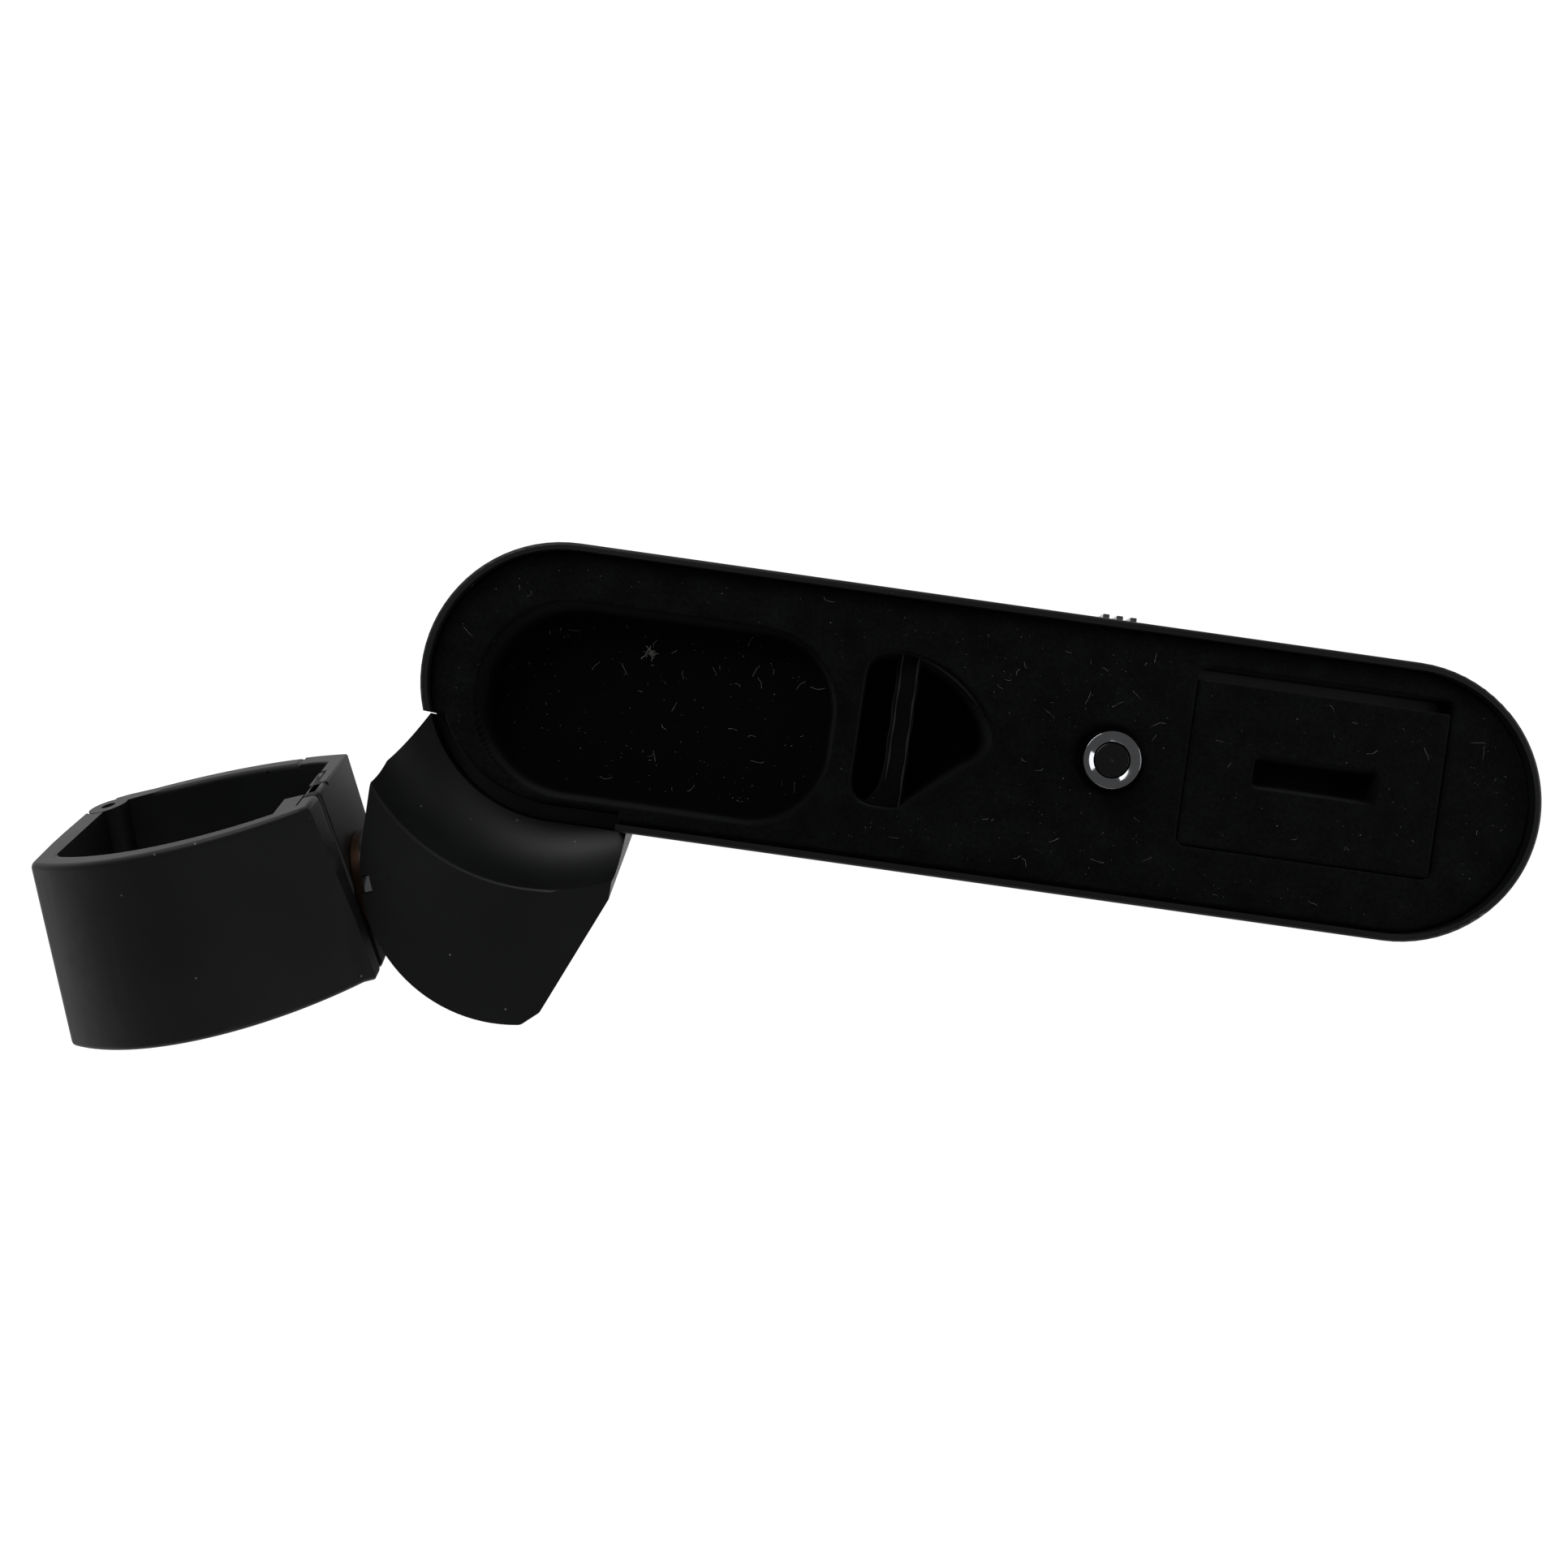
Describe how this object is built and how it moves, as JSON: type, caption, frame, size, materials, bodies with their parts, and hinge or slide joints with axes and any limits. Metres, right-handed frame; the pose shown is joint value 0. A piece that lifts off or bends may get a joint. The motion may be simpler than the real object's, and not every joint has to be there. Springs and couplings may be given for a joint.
{
  "type": "finger clicker",
  "caption": "Flat capsule clicker with a thumb dish, push button, slide switch and battery door, carried on a friction pivot by a hinged finger band.",
  "frame": {"origin": "centre of the pod's flat back face", "axes": "+X along the pod towards the battery door, +Y across it towards the slide switch, +Z out of the flocked face"},
  "size_m": [0.1147, 0.0453, 0.0238],
  "materials": {
    "shell_plastic": "fine matte moulding texture",
    "flock": "short black flock",
    "inner_plastic": "plain moulded",
    "polished_steel": "polished",
    "brushed_cap": "blackened, turned finish",
    "steel": "zinc plated",
    "bronze": "plain bronze",
    "contact_gold": "gold plated spring strip",
    "board": "solder mask",
    "chip": "moulded resin",
    "cell_can": "nickel plated",
    "knob_clear": "smoky clear",
    "plunger_plastic": "natural acetal"
  },
  "bodies": {
    "pod": {"back_shell": "shell_plastic", "face_plate": "inner_plastic", "face_pad": "flock", "button_bezel": "polished_steel", "button_nut": "steel", "tact_switch_body": "chip", "snap_dome": "steel", "slide_switch_body": "steel", "button_cells": "cell_can", "base_contact": "contact_gold", "side_contact": "contact_gold", "circuit_board": "board", "controller_chip": "chip", "chip_components": "chip", "crystal": "steel", "buzzer": "chip", "case_screws": "steel", "bracket_arm": "shell_plastic", "bracket_cover": "shell_plastic", "bracket_screws": "steel", "pivot_bolt": "steel", "bronze_washer": "bronze", "steel_washer": "polished_steel", "spring_washer": "steel", "pivot_nut": "steel"},
    "button": {"button_cap": "brushed_cap", "button_plunger": "plunger_plastic"},
    "switch": {"slide_switch_knob": "knob_clear"},
    "door": {"battery_door": "inner_plastic", "door_pad": "flock"},
    "band": {"band_frame": "shell_plastic", "catch_block": "shell_plastic", "hinge_pin": "steel"},
    "gate": {"band_gate": "shell_plastic"}
  },
  "joints": [
    {"name": "band_swivel", "type": "hinge", "parent": "pod", "child": "band", "pos_m": [-0.04484, -0.01729, 0.0115], "axis": [0.9304, 0.3665, 0], "range_deg": [-90, 90]},
    {"name": "gate_hinge", "type": "hinge", "parent": "band", "child": "gate", "pos_m": [-0.06748, -0.0238, 0.00518], "axis": [0.1686, -0.9295, -0.3281], "range_deg": [0, 70]},
    {"name": "button_press", "type": "slide", "parent": "pod", "child": "button", "axis": [0, 0, -1], "range_m": [0, 0.0005], "stiffness_N_per_m": 2500, "springref_m": -0.0001, "deforming": ["snap_dome"]},
    {"name": "switch_slide", "type": "slide", "parent": "pod", "child": "switch", "axis": [1, 0, 0], "range_m": [0, 0.0018]},
    {"name": "door_lift", "type": "slide", "parent": "pod", "child": "door", "axis": [0, 0, 1], "range_m": [0, 0.008]}
  ]
}
